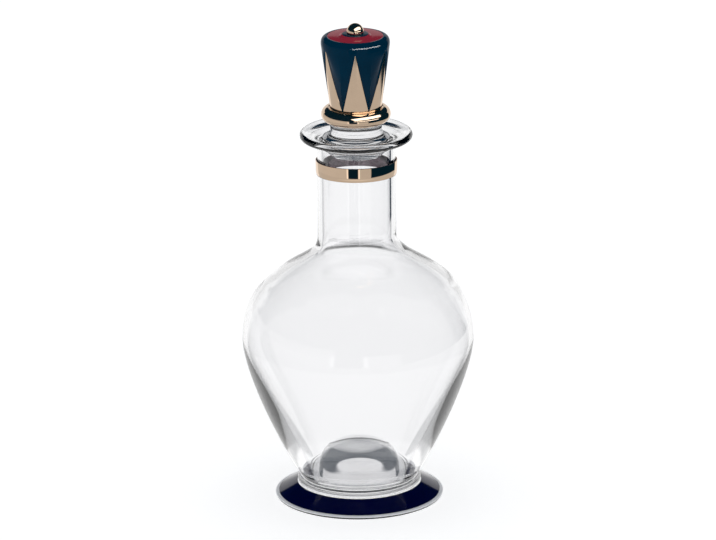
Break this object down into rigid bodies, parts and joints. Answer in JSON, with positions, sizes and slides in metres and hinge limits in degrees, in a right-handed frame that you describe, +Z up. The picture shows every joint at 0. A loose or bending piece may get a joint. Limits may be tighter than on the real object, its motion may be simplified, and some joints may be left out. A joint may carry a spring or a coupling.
{
  "type": "carafe",
  "caption": "Stoppered glass carafe: wide-bellied blown bottle on a spread enamelled foot, gilt neck band, and a solid glass stopper with a gilt and enamelled drum knob and ball finial.",
  "frame": {"origin": "middle of the flat ring that the foot stands on", "axes": "+Z up along the carafe's axis, +X to the right and -Y towards the viewer of the picture"},
  "size_m": [0.1318, 0.1318, 0.2795],
  "materials": {
    "clear_glass": "polished clear",
    "gilt": "polished champagne gilt",
    "navy_enamel": "gloss vitreous enamel",
    "red_enamel": "gloss vitreous enamel",
    "steel": "turned",
    "fibre": "matt pressed fibre"
  },
  "bodies": {
    "carafe": {"foot": "clear_glass", "foot_enamel": "navy_enamel", "foot_button": "clear_glass", "bottle": "clear_glass", "neck_band": "gilt"},
    "stopper": {"stopper_glass": "clear_glass", "threaded_bush": "steel", "tie_rod": "steel", "glass_washer": "fibre", "knob_ring": "gilt", "knob_shell": "gilt", "knob_enamel": "navy_enamel", "top_enamel": "red_enamel", "top_boss": "navy_enamel", "finial_ball": "gilt"}
  },
  "joints": [
    {"name": "stopper_lift", "type": "slide", "parent": "carafe", "child": "stopper", "axis": [0, 0, 1], "range_m": [0, 0.03]}
  ]
}
